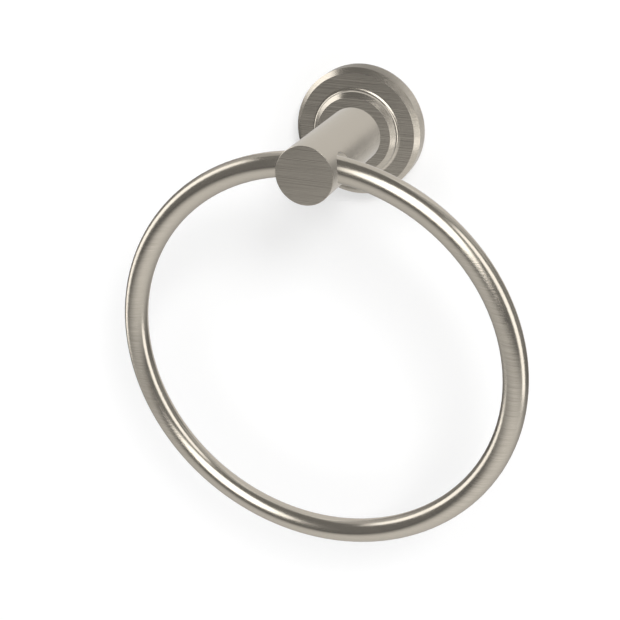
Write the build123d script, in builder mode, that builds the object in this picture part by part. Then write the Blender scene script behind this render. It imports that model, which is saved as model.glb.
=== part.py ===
from build123d import *
import os
from math import radians, tan

# Towel ring for a wall: flange, post and hanging ring, with the plate and screws behind them.
# Millimetres. The wall is the plane y = 0, the front faces -Y, +Z is up, and the post lies on the Y axis.
# A depth is a distance in front of the wall.

# Wall plate
plate_d = 36.0
plate_t = 4.8
groove_from_front = 1.7
groove_depth = 1.0
wall_hole_d = 4.5
wall_hole_spacing = 25.0
countersink_d = 8.6
countersink_angle = 90

# Flange and its collar
flange_d = 50.8
flange_chamfer = 1.9
face_wall = 2.8
collar_d = 33.4
cove_r = 1.4
collar_side = 0.5
collar_chamfer = 1.7
spot_face_depth = 0.8
post_web = 2.7

# Post
post_d = 22.0
post_reach = 63.0
post_edge_break = 0.1
hole_setback = 10.5
hole_rise = 0.5
hole_edge_round = 0.12
drill_point_angle = 118

# Ring
bar_d = 9.5
ring_mean_d = 156.5
ring_lift = 0.55
ring_forward = 0.7

# Screws and washer
post_screw_d = 6.0
post_screw_length = 18.0
post_screw_head_d = 10.5
post_screw_head_h = 3.3
post_screw_head_round = 2.4
post_screw_key = 4.0
post_screw_key_depth = 2.0
screw_end_chamfer = 0.6
tap_runout = 2.0
washer_d = 11.8
washer_t = 1.6
washer_slit = 0.9
set_screw_d = 4.0
set_screw_sink = 0.5
set_screw_key = 2.0
set_screw_key_depth = 2.2
set_screw_end_chamfer = 0.3

# Clearances
plate_fit = 0.2
plate_gap = 0.4
post_fit = 0.05
thread_fit = 0.05
screw_hole_fit = 0.3
washer_room = 0.6
head_room = 1.75
ring_play = 1.05
point_gap = 0.1

# Radii and depths that follow from the sizes above
plate_r = plate_d / 2
recess_r = plate_r + plate_fit
recess_depth = plate_t + plate_gap
groove_mid = plate_t - groove_from_front
flange_r = flange_d / 2
flange_depth = recess_depth + face_wall
flange_side = flange_depth - flange_chamfer
collar_r = collar_d / 2
collar_edge_depth = flange_depth + cove_r + collar_side
collar_depth = collar_edge_depth + collar_chamfer
post_r = post_d / 2
post_seat = collar_depth - spot_face_depth
web_back = post_seat - post_web
washer_r = washer_d / 2
post_screw_r = post_screw_d / 2
head_r = post_screw_head_d / 2
head_seat = web_back - washer_t
head_top = head_seat - post_screw_head_h
screw_end = head_seat + post_screw_length
tap_r = post_screw_r + thread_fit
tap_end = screw_end + tap_runout
set_screw_r = set_screw_d / 2
point_z = groove_depth - plate_r - point_gap
outer_z = set_screw_sink - flange_r
bar_r = bar_d / 2
ring_r = ring_mean_d / 2

# The ring is loose in its hole: at mid post its bar stands forward of the hole's axis and above it,
# and towards both mouths it curves down to below the axis
hole_r = bar_r + ring_play
hole_depth = post_reach - hole_setback
ring_depth = hole_depth + ring_forward
bar_z = hole_rise + ring_lift
ring_centre_z = bar_z - ring_r

with BuildPart() as wall_plate:
    with BuildSketch(Plane.XY):
        with BuildLine():
            Polyline(
                (0, 0),
                (plate_r, 0),
                (plate_r, groove_depth - groove_mid),
                (plate_r - groove_depth, -groove_mid),
                (plate_r, -groove_depth - groove_mid),
                (plate_r, -plate_t),
                (0, -plate_t),
                close=True,
            )
        make_face()
    revolve(axis=Axis.Y)
    with BuildSketch(Plane.XZ):
        Circle(head_r + head_room)
    extrude(amount=plate_t, mode=Mode.SUBTRACT)
    with Locations(Plane.XZ.offset(plate_t)):
        with GridLocations(0, wall_hole_spacing, 1, 2):
            CounterSinkHole(wall_hole_d / 2, countersink_d / 2, counter_sink_angle=countersink_angle)

with BuildPart() as flange:
    with BuildSketch(Plane.XY):
        with BuildLine():
            Polyline(
                (collar_r, -flange_depth - cove_r),
                (collar_r, -collar_edge_depth),
                (collar_r - collar_chamfer, -collar_depth),
                (0, -collar_depth),
                (0, 0),
                (flange_r, 0),
                (flange_r, -flange_side),
                (flange_r - flange_chamfer, -flange_depth),
                (collar_r + cove_r, -flange_depth),
            )
            CenterArc((collar_r + cove_r, -flange_depth - cove_r), cove_r, 90, 90)
        make_face()
    revolve(axis=Axis.Y)
    # Recess for the plate, with a deeper pocket for the screw head
    with BuildSketch(Plane.XZ):
        Circle(recess_r)
    extrude(amount=recess_depth, mode=Mode.SUBTRACT)
    with BuildSketch(Plane.XZ):
        Circle(washer_r + washer_room)
    extrude(amount=web_back, mode=Mode.SUBTRACT)
    with BuildSketch(Plane.XZ):
        Circle(post_screw_r + screw_hole_fit)
    extrude(amount=collar_depth, mode=Mode.SUBTRACT)
    # Spot face that the post stands in
    with BuildSketch(Plane.XZ.offset(post_seat)):
        Circle(post_r + post_fit)
    extrude(amount=spot_face_depth, mode=Mode.SUBTRACT)
    # Tapped hole from below for the grub screw
    with BuildSketch(Plane.XY.offset(-flange_r)):
        with Locations((0, -groove_mid)):
            Circle(set_screw_r + thread_fit)
    extrude(amount=flange_r - recess_r + set_screw_r, mode=Mode.SUBTRACT)

with BuildPart() as post:
    with BuildSketch(Plane.XZ.offset(post_seat)):
        Circle(post_r)
    extrude(amount=post_reach - post_seat)
    chamfer(post.edges().filter_by(GeomType.CIRCLE), post_edge_break)
    # Tapped hole in the back end, with its drill point
    with BuildSketch(Plane.XY):
        with BuildLine():
            Polyline(
                (0, -post_seat),
                (tap_r, -post_seat),
                (tap_r, -tap_end),
                (0, -tap_end - tap_r / tan(radians(drill_point_angle / 2))),
                close=True,
            )
        make_face()
    revolve(axis=Axis.Y, mode=Mode.SUBTRACT)
    # Cross hole that the ring swings in, with its two rims eased
    with BuildSketch(Plane.YZ.offset(-post_r)):
        with Locations((-hole_depth, hole_rise)):
            Circle(hole_r)
    extrude(amount=post_d, mode=Mode.SUBTRACT)
    fillet(post.edges().filter_by(GeomType.BSPLINE), hole_edge_round)

with BuildPart() as ring:
    with BuildSketch(Plane.YZ):
        with Locations((-ring_depth, bar_z)):
            Circle(bar_r)
    revolve(axis=Axis((0, -ring_depth, ring_centre_z), (0, 1, 0)))

with BuildPart() as post_screw:
    with BuildSketch(Plane.XY):
        with BuildLine():
            Polyline(
                (0, -head_top),
                (0, -screw_end),
                (post_screw_r - screw_end_chamfer, -screw_end),
                (post_screw_r, screw_end_chamfer - screw_end),
                (post_screw_r, -head_seat),
                (head_r, -head_seat),
                (head_r, -head_top),
                close=True,
            )
        make_face()
    revolve(axis=Axis.Y)
    fillet(post_screw.faces().sort_by(Axis.Y)[-1].edges(), post_screw_head_round)
    with BuildSketch(Plane.XZ.offset(head_top)):
        RegularPolygon(post_screw_key / 2, 6, major_radius=False)
    extrude(amount=post_screw_key_depth, mode=Mode.SUBTRACT)

with BuildPart() as lock_washer:
    with BuildSketch(Plane.XZ.offset(head_seat)):
        Circle(washer_r)
        Circle(post_screw_r + screw_hole_fit, mode=Mode.SUBTRACT)
        with Locations((0, washer_r)):
            Rectangle(washer_slit, washer_d, mode=Mode.SUBTRACT)
    extrude(amount=washer_t)

with BuildPart() as set_screw:
    with BuildSketch(Plane.YZ):
        with BuildLine():
            Polyline(
                (-groove_mid, point_z),
                (set_screw_r - groove_mid, point_z - set_screw_r),
                (set_screw_r - groove_mid, outer_z + set_screw_end_chamfer),
                (set_screw_r - set_screw_end_chamfer - groove_mid, outer_z),
                (-groove_mid, outer_z),
                close=True,
            )
        make_face()
    revolve(axis=Axis((0, -groove_mid, 0), (0, 0, 1)))
    with BuildSketch(Plane.XY.offset(outer_z)):
        with Locations((0, -groove_mid)):
            RegularPolygon(set_screw_key / 2, 6, major_radius=False)
    extrude(amount=set_screw_key_depth, mode=Mode.SUBTRACT)

os.makedirs("parts", exist_ok=True)
pieces = {
    "wall_plate": wall_plate,
    "flange": flange,
    "post": post,
    "ring": ring,
    "post_screw": post_screw,
    "lock_washer": lock_washer,
    "set_screw": set_screw,
}
for name, piece in pieces.items():
    piece.part.label = name
    export_step(piece.part, f"parts/{name}.step")
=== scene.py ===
import math

import bpy
from mathutils import Euler, Matrix, Quaternion, Vector


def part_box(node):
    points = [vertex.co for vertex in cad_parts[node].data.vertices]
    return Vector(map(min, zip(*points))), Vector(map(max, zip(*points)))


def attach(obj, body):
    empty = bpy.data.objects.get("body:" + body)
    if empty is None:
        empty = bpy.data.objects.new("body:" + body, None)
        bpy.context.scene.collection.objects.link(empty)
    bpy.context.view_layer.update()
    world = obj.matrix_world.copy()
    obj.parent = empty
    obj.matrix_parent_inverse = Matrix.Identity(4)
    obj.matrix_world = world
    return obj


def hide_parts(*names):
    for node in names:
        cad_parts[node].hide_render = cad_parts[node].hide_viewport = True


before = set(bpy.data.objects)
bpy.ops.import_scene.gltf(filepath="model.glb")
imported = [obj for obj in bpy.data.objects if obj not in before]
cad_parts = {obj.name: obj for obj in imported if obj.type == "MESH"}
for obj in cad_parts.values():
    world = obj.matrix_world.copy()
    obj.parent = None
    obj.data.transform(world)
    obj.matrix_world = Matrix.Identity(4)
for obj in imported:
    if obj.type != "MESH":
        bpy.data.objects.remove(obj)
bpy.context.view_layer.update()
scene = bpy.context.scene
scene.view_settings.view_transform = "Standard"
print("frame loaded")


# node helpers: inputs holds plain values for a node's sockets
def addNode(tree, kind, inputs=None, **settings):
    node = tree.nodes.new(kind)
    for key, value in settings.items():
        setattr(node, key, value)
    for socket, value in (inputs or {}).items():
        node.inputs[socket].default_value = value
    return node


def mapRange(tree, source, fromRange, toRange, **settings):
    node = addNode(tree, "ShaderNodeMapRange", **settings)
    node.inputs["From Min"].default_value, node.inputs["From Max"].default_value = fromRange
    node.inputs["To Min"].default_value, node.inputs["To Max"].default_value = toRange
    tree.links.new(source, node.inputs["Value"])
    return node.outputs["Result"]


# a plain number is set on the socket, and an output is linked to it
def feed(tree, socket, value):
    if isinstance(value, (int, float)):
        socket.default_value = value
    else:
        tree.links.new(value, socket)


def mixValues(tree, share, first, second):
    node = addNode(tree, "ShaderNodeMix")
    for socket, value in (("Factor", share), ("A", first), ("B", second)):
        feed(tree, node.inputs[socket], value)
    return node.outputs["Result"]


def mixColours(tree, share, first, second):
    node = addNode(tree, "ShaderNodeMix", data_type="RGBA")
    node.inputs["A"].default_value = first
    node.inputs["B"].default_value = second
    tree.links.new(share, node.inputs["Factor"])
    return node.outputs["Result"]


def calculate(tree, operation, *values):
    node = addNode(tree, "ShaderNodeMath", operation=operation)
    for socket, value in zip(node.inputs, values):
        feed(tree, socket, value)
    return node.outputs[0]


def partsOf(tree, source):
    node = addNode(tree, "ShaderNodeSeparateXYZ")
    tree.links.new(source, node.inputs[0])
    return node.outputs


def emptyMaterial(name):
    mat = bpy.data.materials.new(name)
    mat.use_nodes = True
    mat.node_tree.nodes.clear()
    out = addNode(mat.node_tree, "ShaderNodeOutputMaterial")
    return mat, mat.node_tree, out


# a pattern group puts out tone, for colour and bump, and haze, for gloss
def patternGroup(name, inputs):
    group = bpy.data.node_groups.new(name, "ShaderNodeTree")
    for socket, kind in inputs.items():
        group.interface.new_socket(name=socket, in_out="INPUT", socket_type=kind)
    for socket in ("Tone", "Haze"):
        group.interface.new_socket(name=socket, in_out="OUTPUT", socket_type="NodeSocketFloat")
    return group, addNode(group, "NodeGroupInput"), addNode(group, "NodeGroupOutput")


# brushed lines: fine and broad noise that Lines stretches along one axis, and clouds for the haze
strokes = {
    "fine": {"Scale": 1, "Detail": 3, "Roughness": 0.62},
    "broad": {"Scale": 0.3, "Detail": 1},
    "broadShare": 0.2, "spread": (0.34, 0.66),
    "clouds": {"Scale": 90, "Detail": 2},
}


def makeBrushGroup():
    sockets = {"Vector": "NodeSocketVector", "Lines": "NodeSocketVector"}
    group, given, result = patternGroup("brushLines", sockets)
    stretch = addNode(group, "ShaderNodeVectorMath", operation="MULTIPLY")
    group.links.new(given.outputs["Vector"], stretch.inputs[0])
    group.links.new(given.outputs["Lines"], stretch.inputs[1])
    fine = addNode(group, "ShaderNodeTexNoise", strokes["fine"])
    group.links.new(stretch.outputs[0], fine.inputs["Vector"])
    broad = addNode(group, "ShaderNodeTexNoise", strokes["broad"])
    group.links.new(stretch.outputs[0], broad.inputs["Vector"])
    both = mixValues(group, strokes["broadShare"], fine.outputs["Fac"], broad.outputs["Fac"])
    group.links.new(mapRange(group, both, strokes["spread"], (0, 1)), result.inputs["Tone"])
    clouds = addNode(group, "ShaderNodeTexNoise", strokes["clouds"])
    group.links.new(given.outputs["Vector"], clouds.inputs["Vector"])
    group.links.new(clouds.outputs["Fac"], result.inputs["Haze"])
    return group


# uneven plating: soft clouds with a fine grain in them
plating = {"cloudDetail": 4, "grainShare": 0.3, "spread": (0.3, 0.65)}


def makeCloudGroup():
    sockets = {"Vector": "NodeSocketVector", "Clouds": "NodeSocketFloat", "Grain": "NodeSocketFloat"}
    group, given, result = patternGroup("platingClouds", sockets)
    cloud = addNode(group, "ShaderNodeTexNoise", {"Detail": plating["cloudDetail"]})
    group.links.new(given.outputs["Vector"], cloud.inputs["Vector"])
    group.links.new(given.outputs["Clouds"], cloud.inputs["Scale"])
    grain = addNode(group, "ShaderNodeTexVoronoi", feature="SMOOTH_F1")
    group.links.new(given.outputs["Vector"], grain.inputs["Vector"])
    group.links.new(given.outputs["Grain"], grain.inputs["Scale"])
    both = mixValues(group, plating["grainShare"], cloud.outputs["Fac"], grain.outputs["Distance"])
    group.links.new(mapRange(group, both, plating["spread"], (0, 1)), result.inputs["Tone"])
    group.links.new(grain.outputs["Distance"], result.inputs["Haze"])
    return group


brushLines = makeBrushGroup()
platingClouds = makeCloudGroup()


# every metal here is a pattern on Object coordinates, and a shader that its tone and haze drive
def startMetal(name, group, settings):
    mat, tree, out = emptyMaterial(name)
    place = addNode(tree, "ShaderNodeTexCoord")
    pattern = addNode(tree, "ShaderNodeGroup", settings, node_tree=group)
    tree.links.new(place.outputs["Object"], pattern.inputs["Vector"])
    return mat, tree, out, pattern


def finishMetal(tree, out, look, bumpStrength, tone, haze):
    shader = addNode(tree, "ShaderNodeBsdfPrincipled", {"Metallic": 1, "Specular Tint": look["edgeTint"]})
    colour = mixColours(tree, tone, look["dark"], look["light"])
    tree.links.new(colour, shader.inputs["Base Color"])
    tree.links.new(mapRange(tree, haze, look["haze"], look["gloss"]), shader.inputs["Roughness"])
    bump = addNode(tree, "ShaderNodeBump", {"Strength": bumpStrength, "Distance": look["bumpHeight"]})
    tree.links.new(tone, bump.inputs["Height"])
    tree.links.new(bump.outputs["Normal"], shader.inputs["Normal"])
    tree.links.new(shader.outputs[0], out.inputs["Surface"])


# satin nickel: lines counts the strokes in a metre along x, y and z; front is how much of them shows on
# faces that look along y, side how much on the others, and turn the normal's y from side to front;
# fade is how far above and below its middle the ring's strokes start to fade, and where they are at fadeTo
nickel = {
    "dark": (0.563, 0.516, 0.443, 1), "light": (0.747, 0.684, 0.587, 1), "edgeTint": (1, 0.985, 0.96, 1),
    "haze": (0.3, 0.7), "gloss": (0.19, 0.25), "bumpHeight": 0.0002, "turn": (0.75, 0.97), "midTone": 0.5,
    "ring": {
        "lines": (35, 250, 3400), "front": 0.8, "side": 0.22, "bump": 0.17,
        "middle": -0.0772, "fade": (0.046, 0.062), "fadeTo": 0.2,
    },
    "flange": {"lines": (28, 300, 3300), "front": 1, "side": 0.5, "bump": 0.1},
    "post": {"lines": (28, 3300, 3300), "front": 1, "side": 0.12, "bump": 0.1},
}


def brushedNickel(piece):
    look = nickel[piece]
    mat, tree, out, brush = startMetal("satinNickel_" + piece, brushLines, {"Lines": look["lines"]})
    geo = addNode(tree, "ShaderNodeNewGeometry")
    facing = calculate(tree, "ABSOLUTE", partsOf(tree, geo.outputs["Normal"])["Y"])
    amount = mapRange(tree, facing, nickel["turn"], (look["side"], look["front"]))
    if "fade" in look:
        place = addNode(tree, "ShaderNodeTexCoord")
        above = calculate(tree, "SUBTRACT", partsOf(tree, place.outputs["Object"])["Z"], look["middle"])
        away = calculate(tree, "ABSOLUTE", above)
        amount = calculate(tree, "MULTIPLY", amount, mapRange(tree, away, look["fade"], (1, look["fadeTo"])))
    tone = mixValues(tree, amount, nickel["midTone"], brush.outputs["Tone"])
    finishMetal(tree, out, nickel, look["bump"], tone, brush.outputs["Haze"])
    return mat


# clouds and grain are counted in a metre
plated = {
    "zincPlate": {
        "dark": (0.50, 0.52, 0.55, 1), "light": (0.74, 0.75, 0.75, 1), "edgeTint": (1, 1, 1, 1),
        "haze": (0, 1), "gloss": (0.30, 0.46), "bump": 0.08, "bumpHeight": 0.0001,
        "clouds": 260, "grain": 1500,
    },
    "stainlessSteel": {
        "dark": (0.42, 0.41, 0.40, 1), "light": (0.58, 0.57, 0.55, 1), "edgeTint": (1, 1, 1, 1),
        "haze": (0, 1), "gloss": (0.24, 0.36), "bump": 0.05, "bumpHeight": 0.0001,
        "clouds": 420, "grain": 3200,
    },
}


def platedMetal(finish):
    look = plated[finish]
    counts = {"Clouds": look["clouds"], "Grain": look["grain"]}
    mat, tree, out, clouds = startMetal(finish, platingClouds, counts)
    finishMetal(tree, out, look, look["bump"], clouds.outputs["Tone"], clouds.outputs["Haze"])
    return mat


zincPlate = platedMetal("zincPlate")
stainlessSteel = platedMetal("stainlessSteel")
finishes = {
    "ring": brushedNickel("ring"), "flange": brushedNickel("flange"), "post": brushedNickel("post"),
    "wall_plate": zincPlate, "post_screw": zincPlate, "lock_washer": zincPlate, "set_screw": stainlessSteel,
}
for name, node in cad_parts.items():
    node.material_slots[0].material = finishes[name]
    node.visible_glossy = False  # the pieces don't mirror each other
print("finishes ready")


# mesh helpers; the distances are in metres, and a face looks up if its normal's z is over faceUp
samePlace = 1e-6
cutDistance = 1e-7
faceUp = 0.99


def deselect():
    bpy.ops.object.select_all(action="DESELECT")


def makeActive(piece):
    deselect()
    bpy.context.view_layer.objects.active = piece
    piece.select_set(True)


def editAll():
    bpy.ops.object.mode_set(mode="EDIT")
    bpy.ops.mesh.select_all(action="SELECT")


# goes to edit mode with only those vertices, edges or polygons selected that pass the test
def pick(piece, kind, test):
    editAll()
    bpy.ops.mesh.select_all(action="DESELECT")
    if kind == "polygons":
        bpy.ops.mesh.select_mode(type="FACE")
    bpy.ops.object.mode_set(mode="OBJECT")
    for item in getattr(piece.data, kind):
        item.select = test(item)
    bpy.ops.object.mode_set(mode="EDIT")


def cutAcross(height, **sides):
    bpy.ops.mesh.select_all(action="SELECT")
    bpy.ops.mesh.bisect(plane_co=(0, 0, height), plane_no=(0, 0, 1), threshold=cutDistance, **sides)


# screw thread: a zigzag edge, swept one pitch up in a turn, is cut flat at both ends
spareTurns = 2
startBelow = 1.5  # pitches


def threadedRod(name, screw, low, high):
    pitch = screw["pitch"]
    crest = screw["crest"]
    turns = math.ceil((high - low) / pitch) + spareTurns
    length = turns * pitch
    start = low - startBelow * pitch
    middle = (crest + length / 2, 0, start + length / 2)
    deselect()
    bpy.ops.mesh.primitive_plane_add(size=length, location=middle, rotation=(math.pi / 2, 0, 0))
    rod = bpy.context.object
    rod.name = name
    bpy.ops.object.transform_apply(location=True, rotation=True, scale=True)
    # the plane's inner edge is kept, and every second point on it goes down to the root
    pick(rod, "vertices", lambda v: v.co.x > middle[0])
    bpy.ops.mesh.delete(type="VERT")
    bpy.ops.mesh.select_all(action="SELECT")
    bpy.ops.mesh.subdivide(number_cuts=2 * turns - 1)
    pick(rod, "vertices", lambda v: round((v.co.z - start) / (pitch / 2)) % 2 == 1)
    bpy.ops.transform.translate(value=(-screw["depth"], 0, 0))
    bpy.ops.object.mode_set(mode="OBJECT")
    sweep = rod.modifiers.new("thread", "SCREW")
    sweep.axis = "Z"
    sweep.screw_offset = pitch
    sweep.steps = sweep.render_steps = screw["steps"]
    sweep.use_merge_vertices = True
    sweep.merge_threshold = samePlace
    bpy.ops.object.modifier_apply(modifier="thread")
    editAll()
    bpy.ops.mesh.remove_doubles(threshold=samePlace)
    cutAcross(low, use_fill=True, clear_inner=True)
    cutAcross(high, use_fill=True, clear_outer=True)
    bpy.ops.mesh.select_all(action="SELECT")
    bpy.ops.mesh.normals_make_consistent(inside=False)
    bpy.ops.object.mode_set(mode="OBJECT")
    return rod


# the thread is turned down to a small chamfer at its lower end
def chamferEnd(rod, end, screw):
    chamfer = screw["endChamfer"]
    shrink = 1 - chamfer / screw["crest"]
    editAll()
    cutAcross(end + chamfer)
    pick(rod, "vertices", lambda v: abs(v.co.z - end) < samePlace)
    bpy.ops.transform.resize(value=(shrink, shrink, 1), center_override=(0, 0, end))
    bpy.ops.object.mode_set(mode="OBJECT")


def joinOrCut(piece, tool, operation):
    step = piece.modifiers.new("step", "BOOLEAN")
    step.operation = operation
    step.solver = "EXACT"
    step.object = tool
    makeActive(piece)
    bpy.ops.object.modifier_apply(modifier="step")
    bpy.data.objects.remove(tool, do_unlink=True)


def hexSocket(piece, face, screw):
    corner = screw["key"] / 2 / math.cos(math.pi / 6)
    deselect()
    bpy.ops.mesh.primitive_cylinder_add(
        vertices=6, radius=corner, depth=2 * screw["keyDepth"], location=(0, 0, face))
    bpy.ops.object.transform_apply(location=True)
    joinOrCut(piece, bpy.context.object, "DIFFERENCE")


smoothAngle = 28  # degrees; edges that turn more stay sharp


def finishScrew(piece, node, finish):
    makeActive(piece)
    bpy.ops.object.transform_apply(location=True, rotation=True, scale=True)
    editAll()
    bpy.ops.mesh.remove_doubles(threshold=cutDistance)
    bpy.ops.mesh.normals_make_consistent(inside=False)
    bpy.ops.object.mode_set(mode="OBJECT")
    bpy.ops.object.shade_smooth_by_angle(angle=math.radians(smoothAngle))
    piece.data.materials.clear()
    piece.data.materials.append(finish)
    piece.visible_glossy = False
    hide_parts(node)
    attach(piece, "bracket")


# button head screw that holds the post, made upright and then laid along y, head to the wall
postScrew = {
    "pitch": 0.001, "crest": 0.003, "depth": 0.0006, "steps": 48, "endChamfer": 0.0006, "overlap": 0.0004,
    "headHeight": 0.0033, "headSides": 64, "headRound": 0.0024, "roundSteps": 10, "roundProfile": 0.5,
    "key": 0.004, "keyDepth": 0.002,
}
low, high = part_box("post_screw")
headTop = high[1]
headSeat = headTop - postScrew["headHeight"]
shank = threadedRod("postScrewThreaded", postScrew, low[1], headSeat + postScrew["overlap"])
chamferEnd(shank, low[1], postScrew)
deselect()
bpy.ops.mesh.primitive_cylinder_add(
    vertices=postScrew["headSides"], radius=high[0], depth=postScrew["headHeight"],
    location=(0, 0, (headSeat + headTop) / 2))
head = bpy.context.object
bpy.ops.object.transform_apply(location=True)


def onHeadTop(edge):
    return all(abs(head.data.vertices[i].co.z - headTop) < samePlace for i in edge.vertices)


pick(head, "edges", onHeadTop)
bpy.ops.mesh.bevel(
    offset=postScrew["headRound"], segments=postScrew["roundSteps"], profile=postScrew["roundProfile"],
    affect="EDGES")
bpy.ops.object.mode_set(mode="OBJECT")
joinOrCut(shank, head, "UNION")
hexSocket(shank, headTop, postScrew)
shank.rotation_euler = (-math.pi / 2, 0, 0)
finishScrew(shank, "post_screw", zincPlate)
print("post screw ready")

# grub screw under the flange: threaded all along, cone point up, key socket down
setScrew = {
    "pitch": 0.0007, "crest": 0.002, "depth": 0.00042, "steps": 48, "endChamfer": 0.0003,
    "key": 0.002, "keyDepth": 0.0022,
}
low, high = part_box("set_screw")
pointBase = high[2] - setScrew["crest"]
grub = threadedRod("setScrewThreaded", setScrew, low[2], pointBase)
chamferEnd(grub, low[2], setScrew)
makeActive(grub)
pick(grub, "polygons", lambda f: f.normal.z > faceUp and abs(f.center.z - pointBase) < samePlace)
bpy.ops.mesh.poke(offset=setScrew["crest"], center_mode="MEDIAN")
bpy.ops.mesh.select_mode(type="VERT")
bpy.ops.object.mode_set(mode="OBJECT")
hexSocket(grub, low[2], setScrew)
grub.location = (0, (low[1] + high[1]) / 2, 0)
finishScrew(grub, "set_screw", stainlessSteel)
print("set screw ready")

# camera, fitted to the outlines in the photograph
camera = {
    "place": (0.14742, -0.42648, 0.13502), "azimuth": 21.82, "elevation": 25.51, "roll": -0.49,
    "lens": 68.1, "sensor": 36,
}
camData = bpy.data.cameras.new("camera")
camData.lens = camera["lens"]
camData.sensor_width = camera["sensor"]
cam = bpy.data.objects.new("camera", camData)
scene.collection.objects.link(cam)
turn = Euler((math.radians(90 - camera["elevation"]), 0, math.radians(camera["azimuth"])))
roll = Matrix.Rotation(math.radians(camera["roll"]), 4, "Z")
cam.matrix_world = Matrix.Translation(camera["place"]) @ turn.to_matrix().to_4x4() @ roll
scene.camera = cam
print("camera ready")

# softboxes round the ring: direction in degrees (0 is +X, 90 the wall, 270 the front), size in metres, glow
aim = Vector((0, -0.04, -0.06))
softboxDistance = 2.0
softboxes = {
    "key": {"az": 288, "el": 31, "size": (2.15, 1.89), "roll": 45, "shape": "ELLIPSE", "glow": 2.15},
    "leftPanel": {"az": 184.3, "el": 8, "size": (1.05, 3.0), "glow": 1.45},
    "rightPanel": {"az": 356.6, "el": 8.5, "size": (1.04, 3.05), "glow": 1.48},
    "back": {"az": 94.5, "el": 18, "size": (1.88, 3.75), "distance": 1.5, "glow": 0.53},
    "backLeft": {"az": 149, "el": 39, "size": (1.0, 1.8), "glow": 0.3},
    "backRight": {"az": 44, "el": 40, "size": (1.05, 1.87), "glow": 0.3},
    "lowLeft": {"az": 141, "el": -4, "size": (0.95, 1.1), "glow": 0.09},
    "lowRight": {"az": 38, "el": -5, "size": (0.95, 1.1), "glow": 0.1},
    "shadow": {
        "az": 305.5, "el": 39.5, "size": (0.6, 0.6), "shape": "ELLIPSE", "glow": 24, "mirrored": False,
    },
}
for name, box in softboxes.items():
    lamp = bpy.data.lights.new(name, "AREA")
    lamp.shape = box.get("shape", "RECTANGLE")
    lamp.size, lamp.size_y = box["size"]
    area = box["size"][0] * box["size"][1] * (math.pi / 4 if lamp.shape == "ELLIPSE" else 1)
    lamp.energy = box["glow"] * math.pi * area
    az = math.radians(box["az"])
    el = math.radians(box["el"])
    way = Vector((math.cos(az) * math.cos(el), math.sin(az) * math.cos(el), math.sin(el)))
    obj = bpy.data.objects.new(name, lamp)
    obj.location = aim + way * box.get("distance", softboxDistance)
    spin = Quaternion((0, 0, 1), math.radians(box.get("roll", 0)))
    obj.rotation_euler = (way.to_track_quat("Z", "Y") @ spin).to_euler()
    obj.visible_glossy = box.get("mirrored", True)
    scene.collection.objects.link(obj)

# the room is dim round the metal, and pale where the camera looks past the wall
room = {"dim": (0.18, 0.18, 0.18, 1), "pale": (0.82, 0.82, 0.82, 1)}
world = bpy.data.worlds.new("studio")
scene.world = world
world.use_nodes = True
roomTree = world.node_tree
roomPath = addNode(roomTree, "ShaderNodeLightPath")
roomTone = mixColours(roomTree, roomPath.outputs["Is Camera Ray"], room["dim"], room["pale"])
roomTree.links.new(roomTone, roomTree.nodes["Background"].inputs["Color"])
print("lights ready")


# stage helpers: paint takes the shadow, and lift is added so that wall and floor come out pale
def paintAndLift(tree, level, strength):
    paint = addNode(tree, "ShaderNodeBsdfDiffuse", {"Color": (level, level, level, 1)})
    lift = addNode(tree, "ShaderNodeEmission")
    tree.links.new(strength, lift.inputs["Strength"])
    lit = addNode(tree, "ShaderNodeAddShader")
    tree.links.new(paint.outputs[0], lit.inputs[0])
    tree.links.new(lift.outputs[0], lit.inputs[1])
    return lit.outputs[0]


def distanceFrom(tree, place, point):
    far = addNode(tree, "ShaderNodeVectorMath", operation="DISTANCE")
    far.inputs[1].default_value = point
    tree.links.new(place.outputs["Object"], far.inputs[0])
    return far.outputs["Value"]


# the wall; its lift grows from centre outwards, and nook is a painted shade: the lift is less close round
# the flange, where shade falls
wallLook = {
    "size": 2.4, "behind": 0.0005, "paint": 0.5,
    "lift": (0.578, 0.66), "liftReach": (0.115, 0.17), "centre": (0.0, -0.078, 0.0),
    "nook": (0.0, -0.003, 0.0), "nookReach": (0.03, 0.052), "nookPaintedShade": 0.065,
    "cornerReach": (0.0075, 0.0095), "cornerHeight": (0.015, 0.027), "cornerPaintedShade": 0.5,
}


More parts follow.
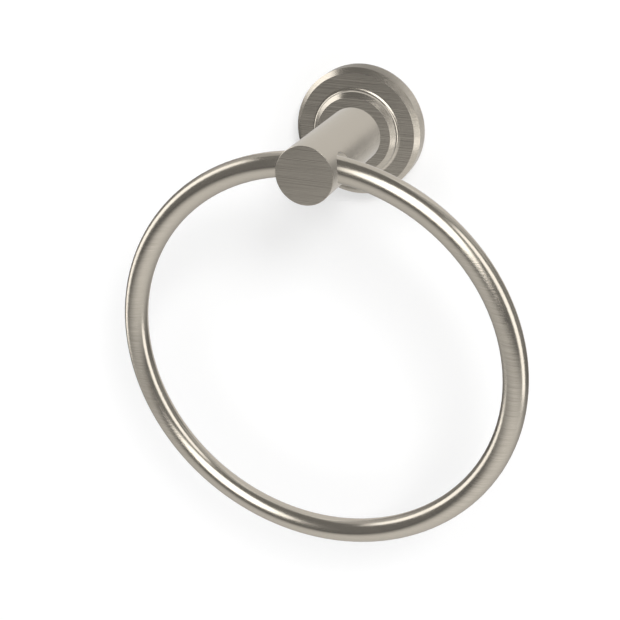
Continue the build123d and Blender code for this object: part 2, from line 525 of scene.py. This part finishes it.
def wallMaterial():
    look = wallLook
    mat, tree, out = emptyMaterial("wallPaint")
    place = addNode(tree, "ShaderNodeTexCoord")
    path = addNode(tree, "ShaderNodeLightPath")
    far = distanceFrom(tree, place, look["centre"])
    most = mapRange(tree, far, look["liftReach"], look["lift"], interpolation_type="SMOOTHSTEP")
    # painted shade: the lift drops close round the flange
    near = distanceFrom(tree, place, look["nook"])
    paintedShade = mapRange(tree, near, look["nookReach"], (look["nookPaintedShade"], 0), interpolation_type="SMOOTHSTEP")
    lit = paintAndLift(tree, look["paint"], calculate(tree, "SUBTRACT", most, paintedShade))
    # the metal sees through the wall to the back softboxes, dimmed by a painted shade in the corner above
    # the flange
    height = partsOf(tree, place.outputs["Object"])["Y"]
    shade = mapRange(tree, height, look["cornerHeight"], (0, look["cornerPaintedShade"]))
    close = mapRange(tree, path.outputs["Ray Length"], look["cornerReach"], (1, 0))
    through = calculate(tree, "SUBTRACT", 1, calculate(tree, "MULTIPLY", shade, close))
    clear = addNode(tree, "ShaderNodeBsdfTransparent")
    tree.links.new(through, clear.inputs["Color"])
    mirrored = calculate(tree, "ADD", path.outputs["Is Glossy Ray"], path.outputs["Is Shadow Ray"])
    # from behind, the wall lets the view through to the back of the plate
    side = addNode(tree, "ShaderNodeNewGeometry")
    letThrough = calculate(tree, "MAXIMUM", side.outputs["Backfacing"], mirrored)
    choice = addNode(tree, "ShaderNodeMixShader")
    tree.links.new(letThrough, choice.inputs[0])
    tree.links.new(lit, choice.inputs[1])
    tree.links.new(clear.outputs[0], choice.inputs[2])
    tree.links.new(choice.outputs[0], out.inputs["Surface"])
    return mat


# the floor; the metal sees a painted pool of light that ends at the pool's reach, the camera a floor that is
# pale all over
floorLook = {
    "radius": 7.0, "sides": 96, "place": (0.7, -2.2, -1.4), "paint": 0.4,
    "paintedPoolLift": 0.51, "paintedPoolReach": 5.4, "paleLift": 0.7,
}


def floorMaterial():
    look = floorLook
    mat, tree, out = emptyMaterial("floorPaint")
    place = addNode(tree, "ShaderNodeTexCoord")
    path = addNode(tree, "ShaderNodeLightPath")
    far = distanceFrom(tree, place, (0, 0, 0))
    reach = (look["paintedPoolReach"], 0)
    # painted pool of light: the lift that the metal sees is brightest at the floor's middle
    paintedPoolLight = mapRange(tree, far, reach, (0, look["paintedPoolLift"]), interpolation_type="SMOOTHSTEP")
    mirrored = calculate(tree, "ADD", path.outputs["Is Glossy Ray"], path.outputs["Is Transmission Ray"])
    seen = calculate(tree, "MULTIPLY", mirrored, paintedPoolLight)
    amount = mixValues(tree, path.outputs["Is Camera Ray"], seen, look["paleLift"])
    tree.links.new(paintAndLift(tree, look["paint"], amount), out.inputs["Surface"])
    return mat


deselect()
bpy.ops.mesh.primitive_circle_add(vertices=floorLook["sides"], radius=floorLook["radius"], fill_type="NGON")
floor = bpy.context.object
floor.name = "floor"
floor.location = floorLook["place"]
floor.data.materials.append(floorMaterial())

deselect()
bpy.ops.mesh.primitive_plane_add(
    size=wallLook["size"], location=(0, wallLook["behind"], 0), rotation=(math.pi / 2, 0, 0))
wall = bpy.context.object
wall.name = "wall"
wall.data.materials.append(wallMaterial())
# the back softboxes stand for the wall in the metal, and shine through it
wall.visible_diffuse = wall.visible_transmission = False
print("backdrop ready")
